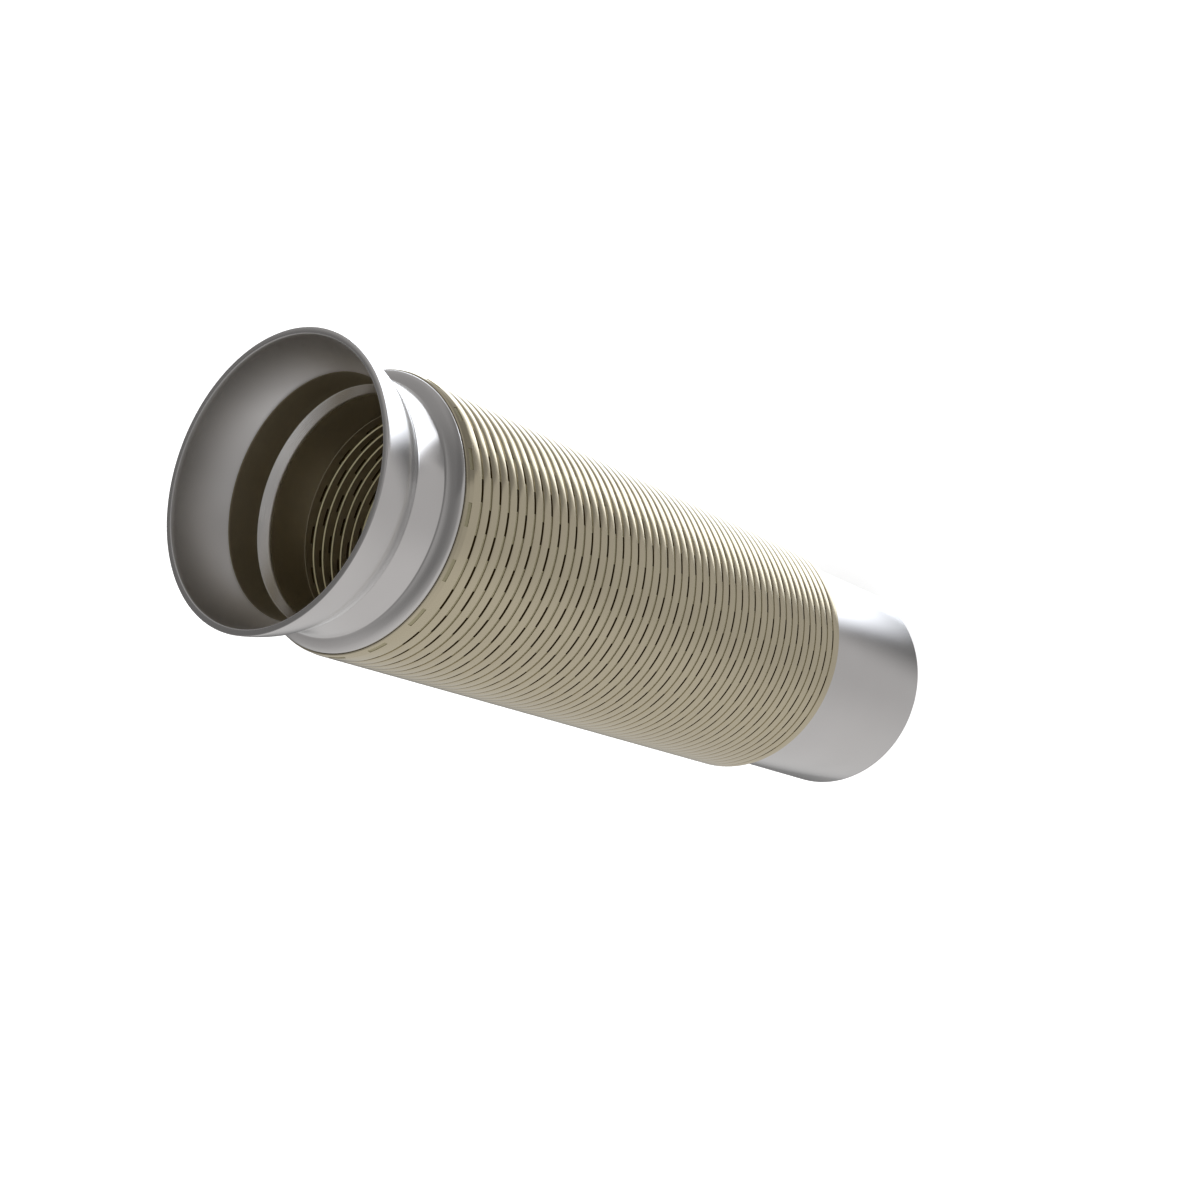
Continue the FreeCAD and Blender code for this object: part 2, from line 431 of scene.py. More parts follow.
@dataclass(frozen=True)
class Surroundings:
    """The light round the pipe, laid out along the camera's axes as the steel's reflections show it.

    Fields that end in rise follow the direction's part upward, those in side its part to the right and
    those in back its part towards the camera. crown is a direction along the pipe's own axes, and a tilt
    is one in shares of the camera's right, up and back.
    """

    plain_rise: Fade = Fade(-0.745, -0.177, 0.728, 0.591)
    front_back: Fade = Fade(0.145, 0.744, 0.0, 0.135)
    crown: tuple[float, float, float] = (0.0, 0.317, 1.163)
    crown_start: Fade = Fade(-0.75, 0.79, 0.0, 0.22)
    crown_end: Fade = Fade(0.825, 1.02, 1.0, 0.0)
    shade_rise: Fade = Fade(-1.27, -0.53)
    left_side: Fade = Fade(-1.17, -0.75, 0.08, 0.0)
    corner_side: Fade = Fade(-0.96, -0.8, 0.36, 0.0)
    corner_rise: Fade = Fade(-0.2, 0.2)
    flag_rise: Fade = Fade(0.387, 0.441)
    flag_side: Fade = Fade(-0.016, 0.6, 0.0, 0.508)
    flag_sum: Fade = Fade(0.083, 0.305)
    edge_tilt: tuple[float, float, float] = (-0.224, 1.0, 0.156)
    low_tilt: tuple[float, float, float] = (-0.224, 1.0, -0.744)
    band_start: Fade = Fade(0.13, 0.64)
    band_end: Fade = Fade(0.02, 0.09, 1.0, 0.0)
    band_back: Fade = Fade(-0.51, 0.03, 0.80, 0.0)
    darkest: float = 0.2
    box_edge: Fade = Fade(-0.09, 0.09)
    box_rise: Fade = Fade(0.60, 0.66, 1.0, 0.0)
    box_back: Fade = Fade(-0.447, -0.372, 1.0, 0.0)
    box_side: Fade = Fade(-0.15, 0.0)
    rear_back: Fade = Fade(-0.94, -0.85, 1.0, 0.0)
    rear_rise: Fade = Fade(-0.04, 0.04)
    box_colour: tuple[float, float, float] = (2.0, 2.12, 2.3)

    def measure(self, graph: Graph, rig: CameraRig) -> Gaze:
        """Measure the direction that is looked in.

        Args:
            graph: The world's nodes.
            rig: The camera.

        Returns:
            The measures.
        """
        way = graph.add("ShaderNodeTexCoord").outputs["Generated"]
        return Gaze(
            right=graph.dot(way, Vector(rig.right)),
            up=graph.dot(way, Vector(rig.up)),
            back=graph.dot(way, Vector(rig.back)),
            crown=graph.dot(way, Vector(self.crown)),
            edge=graph.dot(way, rig.blend(*self.edge_tilt)),
            low=graph.dot(way, rig.blend(*self.low_tilt)),
        )

    def walls(self, graph: Graph, gaze: Gaze) -> bpy.types.NodeSocket:
        """Shade the studio's walls, with the flag and the dark band under the softbox.

        Args:
            graph: The world's nodes.
            gaze: The direction that is looked in.

        Returns:
            The walls' light.
        """
        dip = graph.product(
            graph.fade(gaze.crown, self.crown_start),
            graph.fade(gaze.crown, self.crown_end),
        )
        shade = graph.math("ADD", graph.fade(gaze.back, self.front_back), dip)
        shade = graph.product(shade, graph.fade(gaze.up, self.shade_rise))
        level = graph.math("SUBTRACT", graph.fade(gaze.up, self.plain_rise), shade)
        level = graph.math("SUBTRACT", level, graph.fade(gaze.right, self.left_side))
        corner = graph.product(
            graph.fade(gaze.right, self.corner_side),
            graph.fade(gaze.up, self.corner_rise),
        )
        level = graph.math("SUBTRACT", level, corner)
        flag = graph.product(
            graph.fade(gaze.up, self.flag_rise),
            graph.fade(gaze.right, self.flag_side),
            graph.fade(graph.math("ADD", gaze.up, gaze.back), self.flag_sum),
        )
        level = graph.product(level, graph.math("SUBTRACT", 1.0, flag))
        band = graph.product(
            graph.fade(gaze.low, self.band_start),
            graph.fade(gaze.edge, self.band_end),
            graph.fade(gaze.back, self.band_back),
        )
        level = graph.product(level, graph.math("SUBTRACT", 1.0, band))
        return graph.math("MAXIMUM", level, self.darkest)

    def softbox(self, graph: Graph, gaze: Gaze) -> bpy.types.NodeSocket:
        """Mark where the softbox and the bright wall behind the pipe are.

        Args:
            graph: The world's nodes.
            gaze: The direction that is looked in.

        Returns:
            One inside the softbox and nought outside it.
        """
        box = graph.product(
            graph.fade(gaze.edge, self.box_edge),
            graph.fade(gaze.up, self.box_rise),
            graph.fade(gaze.back, self.box_back),
            graph.fade(gaze.right, self.box_side),
        )
        rear = graph.product(graph.fade(gaze.back, self.rear_back), graph.fade(gaze.up, self.rear_rise))
        return graph.math("MAXIMUM", box, rear)

    def build(self, rig: CameraRig) -> bpy.types.World:
        """Light the pipe from all round.

        Args:
            rig: The camera.

        Returns:
            The world.
        """
        world = bpy.data.worlds.new("studio")
        world.use_nodes = True
        world.node_tree.nodes.clear()
        graph = Graph(world.node_tree)
        gaze = self.measure(graph, rig)
        level = self.walls(graph, gaze)
        box = self.softbox(graph, gaze)
        parts = {
            part: graph.math("ADD", level, graph.product(box, strength))
            for part, strength in zip(("Red", "Green", "Blue"), self.box_colour)
        }
        colour = graph.add("ShaderNodeCombineColor", **parts).outputs[0]
        light = graph.add("ShaderNodeBackground", Color=colour, Strength=1.0)
        graph.add("ShaderNodeOutputWorld", Surface=light.outputs[0])
        bpy.context.scene.world = world
        return world


@dataclass(frozen=True)
class Studio:
    """Pale floor, white backdrop, a soft lamp and the surroundings that the steel reflects."""

    surroundings: Surroundings = Surroundings()
    radius: float = 14.0
    floor_drop: float = 0.0006
    floor_sides: int = 96
    floor_colour: tuple[float, float, float, float] = (0.9, 0.9, 0.9, 1.0)
    floor_glow: float = 0.66
    dome_columns: int = 48
    dome_rows: int = 24
    lamp_power: float = 26.0
    lamp_size: float = 1.6
    lamp_place: tuple[float, float, float] = (-0.5, -0.4, 2.1)

    def hide_from_steel(self, stage: bpy.types.Object) -> None:
        """Leave a stage piece to the camera, so that the steel reflects the surroundings behind it.

        Args:
            stage: The floor or the backdrop.
        """
        stage.visible_glossy = False
        stage.visible_diffuse = False
        stage.visible_shadow = False
        stage.visible_transmission = False

    def floor(self) -> bpy.types.Object:
        """Make the pale floor, which keeps the pipe's soft shadow.

        Returns:
            The floor.
        """
        mesh = bmesh.new()
        bmesh.ops.create_circle(mesh, cap_ends=True, radius=self.radius, segments=self.floor_sides)
        bmesh.ops.translate(mesh, verts=mesh.verts, vec=(0.0, 0.0, -self.floor_drop))
        material = bpy.data.materials.new("floor_paint")
        material.use_nodes = True
        shader = material.node_tree.nodes["Principled BSDF"]
        shader.inputs["Base Color"].default_value = self.floor_colour
        shader.inputs["Roughness"].default_value = 1.0
        shader.inputs["Specular IOR Level"].default_value = 0.0
        shader.inputs["Emission Color"].default_value = WHITE
        shader.inputs["Emission Strength"].default_value = self.floor_glow
        floor = finish_mesh(mesh, "floor", [material])
        self.hide_from_steel(floor)
        return floor

    def backdrop(self) -> bpy.types.Object:
        """Make the white dome above the floor.

        Returns:
            The backdrop.
        """
        mesh = bmesh.new()
        bmesh.ops.create_uvsphere(
            mesh, u_segments=self.dome_columns, v_segments=self.dome_rows, radius=self.radius
        )
        lower = [v for v in mesh.verts if v.co.z < -WELD]
        bmesh.ops.delete(mesh, geom=lower, context="VERTS")
        bmesh.ops.reverse_faces(mesh, faces=mesh.faces[:])
        material = bpy.data.materials.new("backdrop_white")
        material.use_nodes = True
        graph = Graph(material.node_tree)
        material.node_tree.nodes.clear()
        glow = graph.add("ShaderNodeEmission", Color=WHITE, Strength=1.0)
        graph.add("ShaderNodeOutputMaterial", Surface=glow.outputs[0])
        dome = finish_mesh(mesh, "backdrop", [material])
        self.hide_from_steel(dome)
        return dome

    def lamp(self) -> bpy.types.Object:
        """Hang a large soft lamp overhead for the shadow on the floor.

        Returns:
            The lamp.
        """
        data = bpy.data.lights.new("soft_lamp", "AREA")
        data.shape = "DISK"
        data.size = self.lamp_size
        data.energy = self.lamp_power
        lamp = bpy.data.objects.new("soft_lamp", data)
        lamp.location = self.lamp_place
        lamp.visible_glossy = False
        lamp.rotation_euler = (-Vector(self.lamp_place)).to_track_quat("-Z", "Y").to_euler()
        bpy.context.scene.collection.objects.link(lamp)
        return lamp

    def build(self, rig: CameraRig) -> None:
        """Set up the whole studio.

        Args:
            rig: The camera.
        """
        self.floor()
        self.backdrop()
        self.surroundings.build(rig)
        self.lamp()
        bpy.context.scene.view_settings.view_transform = "Standard"


@dataclass(frozen=True)
class Effects:
    """Surface effects that several finishes share, each built once as a node group."""

    line_detail: float = 4.0
    line_grain: float = 0.6
    patch_detail: float = 3.0
    patch_grain: float = 0.5
    patch_contrast: Fade = Fade(0.3, 0.7)

    def start(self, name: str, output: str) -> tuple[Graph, bpy.types.Node, bpy.types.Node]:
        """Start a group that takes a point and a scale and puts out a value.

        Args:
            name: The group's name.
            output: The output's name.

        Returns:
            A graph on the group, its input node and its output node.
        """
        group = bpy.data.node_groups.new(name, "ShaderNodeTree")
        group.interface.new_socket(output, in_out="OUTPUT", socket_type=SocketKind.VALUE.value)
        group.interface.new_socket("Point", in_out="INPUT", socket_type=SocketKind.VECTOR.value)
        group.interface.new_socket("Scale", in_out="INPUT", socket_type=SocketKind.VALUE.value)
        graph = Graph(group)
        return graph, graph.add("NodeGroupInput"), graph.add("NodeGroupOutput")

    def turned_lines(self) -> bpy.types.NodeTree:
        """Fine lines that run round the axis, as a lathe or a forming roll leaves them.

        Returns:
            The group.
        """
        graph, given, out = self.start("turned_lines", "Lines")
        parts = graph.add("ShaderNodeSeparateXYZ", Vector=given.outputs["Point"]).outputs
        flat = graph.add("ShaderNodeCombineXYZ", X=parts[0], Y=parts[1]).outputs[0]
        radius = graph.add("ShaderNodeVectorMath", {"operation": "LENGTH"}, i0=flat).outputs["Value"]
        facing = graph.add("ShaderNodeVectorMath", {"operation": "NORMALIZE"}, i0=flat).outputs[0]
        turn = graph.add("ShaderNodeSeparateXYZ", Vector=facing).outputs
        along = graph.product(graph.math("ADD", parts[2], radius), given.outputs["Scale"])
        noise = graph.add(
            "ShaderNodeTexNoise",
            Vector=graph.add("ShaderNodeCombineXYZ", X=turn[0], Y=turn[1], Z=along).outputs[0],
            Scale=1.0,
            Detail=self.line_detail,
            Roughness=self.line_grain,
        )
        graph.tree.links.new(noise.outputs[0], out.inputs["Lines"])
        return graph.tree

    def soft_patches(self) -> bpy.types.NodeTree:
        """Broad, soft patches in which a surface is a little duller.

        Returns:
            The group.
        """
        graph, given, out = self.start("soft_patches", "Patches")
        noise = graph.add(
            "ShaderNodeTexNoise",
            Vector=given.outputs["Point"],
            Scale=given.outputs["Scale"],
            Detail=self.patch_detail,
            Roughness=self.patch_grain,
        )
        graph.tree.links.new(graph.fade(noise.outputs[0], self.patch_contrast), out.inputs["Patches"])
        return graph.tree


@dataclass(frozen=True)
class SteelFinish:
    """A steel surface with fine turned lines and soft patches.

    One share is how far the colour is painted white where another steel surface mirrors it, a painted
    reflection; another is what share of its colour is left at the inlet's rim, a painted shade.
    """

    name: str
    colour: tuple[float, float, float]
    shade: tuple[float, float, float]
    roughness: float
    spread: float
    line_depth: float
    painted_mirror_white: float = 0.0
    metal: float = 1.0
    painted_rim_shade: float = 1.0
    painted_rim_zone: tuple[float, float] = (0.428, 0.452)
    specular: float = 0.5
    line_scale: float = 5200.0
    patch_scale: float = 22.0
    dullness_zone: tuple[float, float] = (0.2, 0.8)
    patch_share: float = 0.5

    def colour_of(self, graph: Graph, point: bpy.types.NodeSocket, blend: object) -> bpy.types.NodeSocket:
        """Colour the surface, with painted shade towards the inlet's rim and a painted reflection in other
        steel.

        Args:
            graph: The material's nodes.
            point: Object coordinates.
            blend: How far the surface has its shade.

        Returns:
            The colour.
        """
        colour = graph.add("ShaderNodeMix", {"data_type": "RGBA"}, i0=blend)
        colour.inputs[6].default_value = (*self.colour, 1.0)
        colour.inputs[7].default_value = (*self.shade, 1.0)
        # Painted shade: the colour darkens towards the inlet's rim.
        height = graph.add("ShaderNodeSeparateXYZ", Vector=point).outputs[2]
        painted_rim_darkening = graph.fade(height, Fade(*self.painted_rim_zone, 1.0, self.painted_rim_shade))
        tinted = graph.add(
            "ShaderNodeVectorMath", {"operation": "SCALE"}, i0=colour.outputs[2], Scale=painted_rim_darkening
        )
        # Painted reflection: where other steel mirrors this surface, its colour is mixed towards white.
        painted_reflection = graph.product(graph.add("ShaderNodeLightPath").outputs["Is Glossy Ray"], self.painted_mirror_white)
        seen = graph.add("ShaderNodeMix", {"data_type": "RGBA"}, i0=painted_reflection)
        graph.tree.links.new(tinted.outputs[0], seen.inputs[6])
        seen.inputs[7].default_value = WHITE
        return seen.outputs[2]

    def build(self, lines_group: bpy.types.NodeTree, patches_group: bpy.types.NodeTree) -> bpy.types.Material:
        """Make the material.

        Args:
            lines_group: The shared turned lines.
            patches_group: The shared soft patches.

        Returns:
            The material.
        """
        material = bpy.data.materials.new(self.name)
        material.use_nodes = True
        graph = Graph(material.node_tree)
        shader = material.node_tree.nodes["Principled BSDF"]
        shader.inputs["Metallic"].default_value = self.metal
        shader.inputs["Specular IOR Level"].default_value = self.specular * self.metal
        point = graph.add("ShaderNodeTexCoord").outputs["Object"]
        lines, patches = (
            graph.add("ShaderNodeGroup", {"node_tree": group}, Point=point, Scale=scale).outputs[0]
            for group, scale in ((lines_group, self.line_scale), (patches_group, self.patch_scale))
        )
        dull = graph.math(
            "ADD", graph.product(patches, self.patch_share), graph.product(lines, 1.0 - self.patch_share)
        )
        span = Fade(*self.dullness_zone, self.roughness - self.spread, self.roughness + self.spread)
        bump = graph.add("ShaderNodeBump", Height=lines, Strength=1.0, Distance=self.line_depth * MM)
        for socket, source in (
            ("Base Color", self.colour_of(graph, point, graph.product(patches, lines))),
            ("Roughness", graph.fade(dull, span)),
            ("Normal", bump.outputs[0]),
        ):
            graph.tree.links.new(source, shader.inputs[socket])
        return material


FITTING_STEEL = SteelFinish(
    name="fitting_steel",
    colour=(0.60, 0.58, 0.57),
    shade=(0.57, 0.55, 0.54),
    roughness=0.17,
    spread=0.02,
    line_depth=0.0005,
    # Painted reflection: nearly white where other steel mirrors it.
    painted_mirror_white=0.9,
)
# Painted light: the cup is of the flare's sheet, but its colour is painted far brighter than the fitting
# steel.
BRIGHT_PAINTED_CUP_STEEL = SteelFinish(
    name="bright_painted_cup_steel",
    colour=(0.95, 0.925, 0.91),
    shade=(0.90, 0.875, 0.86),
    roughness=0.36,
    spread=0.02,
    line_depth=0.0003,
    # Painted shade: darker towards the rim.
    painted_rim_shade=0.65,
)
# Painted light: the lip's colour is painted brighter than the fitting steel, for its highlight.
BRIGHT_PAINTED_LIP_STEEL = SteelFinish(
    name="bright_painted_lip_steel",
    colour=(1.0, 0.98, 0.96),
    shade=(0.96, 0.94, 0.92),
    roughness=0.26,
    spread=0.02,
    line_depth=0.0003,
)
BORE_STEEL = SteelFinish(
    name="bore_steel",
    colour=(0.54, 0.475, 0.35),
    shade=(0.49, 0.43, 0.32),
    roughness=0.50,
    spread=0.04,
    line_depth=0.0008,
)
HOSE_STEEL = SteelFinish(
    name="hose_steel",
    colour=(0.535, 0.475, 0.35),
    shade=(0.50, 0.44, 0.325),
    roughness=0.17,
    spread=0.02,
    line_depth=0.0008,
)
# Painted shade: darker and rougher than the hose steel, for the laps' floors and the marks.
LAP_FLOOR_PAINTED_SHADE = SteelFinish(
    name="lap_floor_painted_shade",
    colour=(0.46, 0.42, 0.28),
    shade=(0.42, 0.38, 0.25),
    roughness=0.50,
    spread=0.04,
    line_depth=0.0008,
)
# Painted shade: a near-black, dull stand-in for the shade in the windows and round the marks.
WINDOW_PAINTED_SHADE = SteelFinish(
    name="window_painted_shade",
    colour=(0.08, 0.055, 0.015),
    shade=(0.065, 0.045, 0.012),
    roughness=0.8,
    spread=0.04,
    line_depth=0.0008,
    metal=0.0,
)
# Painted highlight: the inner laps' edges, which catch the light from the mouth, painted bright gold.
LAP_EDGE_PAINTED_HIGHLIGHT = SteelFinish(
    name="lap_edge_painted_highlight",
    colour=(0.85, 0.78, 0.50),
    shade=(0.70, 0.62, 0.38),
    roughness=0.35,
    spread=0.04,
    line_depth=0.0008,
)


@dataclass
class InletFitting:
    """Ball cup, neck and collar pressed from one sheet, with the liner inside."""

    steel: bpy.types.Material
    bright_painted_cup_steel: bpy.types.Material
    bright_painted_lip_steel: bpy.types.Material
    bore_steel: bpy.types.Material
    neck_bore: float = 56.4
    neck: float = 59.4
    ball: float = 65.6
    ball_outside: float = 68.6
    ball_centre: float = 461.468
    ball_steps: int = 14
    rim_top: float = 454.168
    rim_round: float = 0.35
    neck_round: float = 0.9
    neck_bottom: float = 410.6
    neck_bore_bottom: float = 409.659
    shoulder: tuple[Bend, ...] = (
        Bend(61.0, 21.5, 12.0, 4),
        Bend(49.0, 8.1, 19.0, 6),
        Bend(30.0, 3.1, 30.0, 8),
    )
    shoulder_round: float = 0.45
    collar_foot: float = 399.068
    bore: float = 53.3
    liner: float = 55.3
    liner_bottom: float = 384.109
    liner_round: float = 0.25
    lip_top: float = 411.409
    lip_start: float = 405.209
    lip_foot: float = 408.609
    lip_radius: float = 56.35
    lip_bend: float = 3.3
    lip_facing: float = 34.0
    lip_steps: int = 8
    lip_round: float = 0.5
    lip_round_edges: int = 6

    def sweep(self, ball: float, wide: float, narrow: float) -> float:
        """Angle on a ball between its circles of a wide and a narrow radius, in degrees."""
        return math.degrees(math.acos(narrow / ball)) - math.degrees(math.acos(wide / ball))

    def zone_of(self, face: bmesh.types.BMFace, cup_foot: float) -> FlareZone:
        """Tell which part of the flare a face belongs to.

        Args:
            face: A face of the flare.
            cup_foot: Height at which the cup ends in the neck, in millimetres.

        Returns:
            The zone.
        """
        middle = face.calc_center_median()
        if face.normal.x * middle.x + face.normal.y * middle.y >= 0:
            return FlareZone.OUTSIDE
        return FlareZone.CUP if middle.z > cup_foot * MM else FlareZone.BORE

    def flare(self) -> bpy.types.Object:
        """Make the cup, neck and collar.

        Returns:
            The piece.
        """
        drop = self.ball_centre - self.rim_top
        rim_outside = math.sqrt(self.ball_outside**2 - drop**2)
        rim_inside = math.sqrt(self.ball**2 - drop**2)
        cup_foot = self.ball_centre - math.sqrt(self.ball**2 - self.neck_bore**2)
        section = Section(rim_inside, self.rim_top)
        section.line(rim_outside, self.rim_top)
        down = self.sweep(self.ball_outside, rim_outside, self.neck)
        section.arc(0.0, self.ball_centre, down, self.ball_steps)
        crease = (section.last.co.x / MM, section.last.co.z / MM)
        section.line(self.neck, self.neck_bottom)
        for bend in self.shoulder:
            section.bend(bend)
        section.line(section.last.co.x / MM, self.collar_foot)
        section.line(self.neck_bore, self.neck_bore_bottom)
        section.line(self.neck_bore, cup_foot)
        up = self.sweep(self.ball, rim_inside, self.neck_bore)
        section.arc(0.0, self.ball_centre, -up, self.ball_steps)
        bmesh.ops.remove_doubles(section.mesh, verts=section.mesh.verts, dist=WELD)
        section.rounded(self.rim_round, [(rim_inside, self.rim_top), (rim_outside, self.rim_top)])
        section.rounded(self.neck_round, [crease, (self.neck_bore, cup_foot)])
        section.rounded(self.shoulder_round, [(self.neck, self.neck_bottom)])
        mesh = section.solid()
        for face in mesh.faces:
            face.material_index = self.zone_of(face, cup_foot)
        return finish_mesh(mesh, "flare_shell", [self.steel, self.bright_painted_cup_steel, self.bore_steel])

    def inner_sleeve(self) -> bpy.types.Object:
        """Make the liner with its rounded lip.

        Returns:
            The piece.
        """
        section = Section(self.bore, self.liner_bottom)
        section.line(self.bore, self.lip_start)
        section.arc(self.bore + self.lip_bend, self.lip_start, self.lip_facing, self.lip_steps)
        section.line(self.lip_radius, self.lip_top)
        section.line(self.lip_radius, self.lip_foot)
        section.line(self.liner, self.lip_start)
        section.line(self.liner, self.liner_bottom)
        section.close()
        foot = [(self.bore, self.liner_bottom), (self.liner, self.liner_bottom)]
        section.rounded(self.liner_round, foot)
        section.rounded(self.lip_round, [(self.lip_radius, self.lip_top)], self.lip_round_edges)
        mesh = section.solid()
        for face in mesh.faces:
            below_lip = face.calc_center_median().z < self.lip_start * MM
            face.material_index = LinerZone.BORE if below_lip else LinerZone.LIP
        return finish_mesh(mesh, "liner_sleeve", [self.bright_painted_lip_steel, self.bore_steel])

    def build(self) -> None:
        """Build and place both pieces."""
        place_piece(self.flare(), "inlet_flare")
        place_piece(self.inner_sleeve(), "inlet_liner")


@dataclass(kw_only=True)
class WoundHose:
    """A hose wound from one folded strip, with locking windows pressed along each lap.

    All sizes are in millimetres. A lap is drawn as points of (fall, depth): the fall is measured down from
    the lap's edge and the depth from the shown surface. The ends are points of (height, depth), and the
    back is points of (radius, height). A row reaches from one fall to another, and mark_row from one
    height to another.
    """

    steel: bpy.types.Material
    floor_steel: bpy.types.Material
    shade_paint_for_windows: bpy.types.Material
    trim_steel: bpy.types.Material
    name: str
    node: str
    shown: Wall
    radius: float
    bottom: float
    top: float
    first_lap: float
    laps: int
    lap: tuple[tuple[float, float], ...]
    top_end: tuple[tuple[float, float], ...]
    bottom_end: tuple[tuple[float, float], ...]
    back: tuple[tuple[float, float], ...]
    window_row: tuple[float, float]
    window_depth: float
    window_start: float
    seam: float
    floor_row: tuple[float, float] = NO_ROW
    trim_row: tuple[float, float] = NO_ROW
    mark_row: tuple[float, float] = NO_ROW
    mark_depth: float = 0.2
    windows: float = 16.528
    window_share: float = 0.4167
    pitch: float = 5.874
    columns: int = HOSE_COLUMNS
    spare: float = 12.0

    def level(self, depth: float) -> float:
        """Radius of a point at a depth below the shown surface."""
        return self.radius + self.shown.value * depth

    def lowest(self) -> float:
        """Height at which the column starts before its ends are laid flat."""
        return self.bottom - len(self.bottom_end) * self.spare

    def column(self) -> Section:
        """Draw the laps one above the other.

        The points of both ends lie a spare distance apart beyond the laps, so that they can be told from
        the laps' points once they are turned.

        Returns:
            The open outline.
        """
        section = Section(self.level(self.bottom_end[0][1]), self.lowest())
        for step, (_, depth) in enumerate(self.bottom_end[1:], start=1):
            section.line(self.level(depth), self.lowest() + step * self.spare)
        for turn in range(self.laps):
            edge = self.first_lap + turn * self.pitch
            for fall, depth in reversed(self.lap):
                section.line(self.level(depth), edge - fall)
        for step, (_, depth) in enumerate(self.top_end, start=1):
            section.line(self.level(depth), self.top + step * self.spare)
        return section

    def skin(self) -> bmesh.types.BMesh:
        """Make the side that shows, as the column turned and raised by a pitch, with both ends laid flat.

        Returns:
            The open skin.
        """
        mesh = self.column().mesh
        bmesh.ops.spin(
            mesh,
            geom=mesh.verts[:] + mesh.edges[:],
            cent=ORIGIN,
            axis=AXIS,
            dvec=(0.0, 0.0, self.pitch * MM / self.columns),
            angle=FULL_TURN,
            steps=self.columns,
        )
        for vert in mesh.verts:
            above_top = int((vert.co.z / MM - self.top + self.pitch / 2) // self.spare)
            above_start = int((vert.co.z / MM - self.lowest() + self.pitch / 2) // self.spare)
            if above_top >= 1:
                vert.co.z = self.top_end[above_top - 1][0] * MM
            elif above_start < len(self.bottom_end):
                vert.co.z = self.bottom_end[above_start][0] * MM
        bmesh.ops.remove_doubles(mesh, verts=mesh.verts, dist=WELD)
        return mesh

    def place_in_lap(self, face: bmesh.types.BMFace) -> tuple[float, float]:
        """Tell where on the winding a face lies.

        Args:
            face: A face of the skin.

        Returns:
            How far it lies below its lap's edge, in millimetres, and the turns of the winding up to it,
            which are negative or more than the laps where it belongs to an end.
        """
        middle = face.calc_center_median()
        turn = (math.atan2(middle.y, middle.x) / FULL_TURN) % 1.0
        fall = (self.first_lap + turn * self.pitch - middle.z / MM) % self.pitch
        lap = round((middle.z / MM + fall - self.first_lap) / self.pitch - turn)
        if self.mark_row[0] < middle.z / MM < self.mark_row[1]:
            lap = self.laps
        return fall, lap + turn

    def sink(
        self, mesh: bmesh.types.BMesh, faces: list[bmesh.types.BMFace], depth: float, zone: HoseZone
    ) -> None:
        """Press faces into the wall.

        Args:
            mesh: The skin.
            faces: The faces.
            depth: How deep they are pressed.
            zone: Material slot of the pressed faces. A wall beside them has their slot from before or its
                neighbour's, and which of the two it is can vary from one run to the next.
        """
        sunk = bmesh.ops.extrude_face_region(mesh, geom=faces)
        for item in sunk["geom"]:
            if isinstance(item, bmesh.types.BMVert):
                outward = Vector((item.co.x, item.co.y, 0.0)).normalized()
                item.co += outward * self.shown.value * depth * MM
            elif isinstance(item, bmesh.types.BMFace):
                item.material_index = zone
        bmesh.ops.delete(mesh, geom=faces, context="FACES_ONLY")

    def press_windows(self, mesh: bmesh.types.BMesh) -> None:
        """Paint shade on the laps' floors, sink the windows into them with painted shade and mark the last
        turn, which has no lap.

        Args:
            mesh: The skin.
        """
        windows = []
        marks = []
        for face in mesh.faces:
            face.material_index = HoseZone.BAND
            fall, turns = self.place_in_lap(face)
            chosen = (turns * self.windows + self.window_start) % 1.0 < self.window_share
            if turns >= self.laps:
                if chosen and self.mark_row[0] < face.calc_center_median().z / MM < self.mark_row[1]:
                    marks.append(face)
            elif turns >= 0.0:
                # The floor slot holds painted shade on the outer hose.
                if self.floor_row[0] < fall < self.floor_row[1]:
                    face.material_index = HoseZone.FLOOR
                if self.trim_row[0] < fall < self.trim_row[1]:
                    face.material_index = HoseZone.TRIM
                if chosen and self.window_row[0] < fall < self.window_row[1]:
                    windows.append(face)
        # The windows and the walls round the marks get the near-black slot: painted shade.
        for face in windows + marks:
            face.material_index = HoseZone.WINDOW
        self.sink(mesh, windows, self.window_depth, HoseZone.WINDOW)
        if marks:
            # The marks' floors get the floor slot, painted shade on the outer hose.
            self.sink(mesh, marks, self.mark_depth, HoseZone.FLOOR)

    def add_back(self, mesh: bmesh.types.BMesh) -> None:
        """Turn the side that doesn't show, on the same columns as the skin.

        Args:
            mesh: The skin, to which it is added.
        """
        section = Section(*self.back[0])
        for corner in self.back[1:]:
            section.line(*corner)
        section.turn(self.columns)
        part = bpy.data.meshes.new("back")
        section.mesh.to_mesh(part)
        section.mesh.free()
        mesh.from_mesh(part)
        bpy.data.meshes.remove(part)
        bmesh.ops.remove_doubles(mesh, verts=mesh.verts, dist=WELD)

    def build(self) -> bpy.types.Object:
        """Build the whole wall and place it.

        Returns:
            The piece.
        """
        mesh = self.skin()
        self.press_windows(mesh)
        self.add_back(mesh)
        bmesh.ops.holes_fill(mesh, edges=[edge for edge in mesh.edges if edge.is_boundary], sides=0)
        turn = Matrix.Rotation(math.radians(self.seam), 3, "Z")
        bmesh.ops.rotate(mesh, verts=mesh.verts, cent=ORIGIN, matrix=turn)
        bmesh.ops.recalc_face_normals(mesh, faces=mesh.faces[:])
        LOG.info("%s has %d open edges", self.name, sum(edge.is_boundary for edge in mesh.edges))
        steels = [self.steel, self.floor_steel, self.shade_paint_for_windows, self.trim_steel]
        piece = finish_mesh(mesh, self.name, steels)
        return place_piece(piece, self.node)


